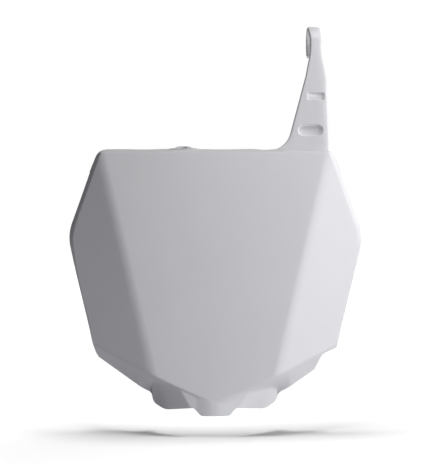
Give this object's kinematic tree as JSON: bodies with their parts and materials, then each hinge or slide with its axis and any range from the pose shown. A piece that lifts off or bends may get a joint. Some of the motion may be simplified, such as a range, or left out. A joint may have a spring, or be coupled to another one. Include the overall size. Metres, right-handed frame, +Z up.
{
  "type": "racing number board",
  "caption": "Folded front number board for an off-road motorcycle, with a handlebar strap, a screw ear and a locating tab.",
  "frame": {"origin": "centre of the bounding box's bottom: the foot of the tab in height, midway across the board's width and depth", "axes": "+Z up the board and along its strap, -Y out of the front, +X to the viewer's right"},
  "size_m": [0.2612, 0.0456, 0.3382],
  "materials": {
    "shell_plastic": "white injection-moulded plastic with a soft satin sheen"
  },
  "bodies": {
    "root": {"number_board": "shell_plastic"}
  },
  "joints": []
}
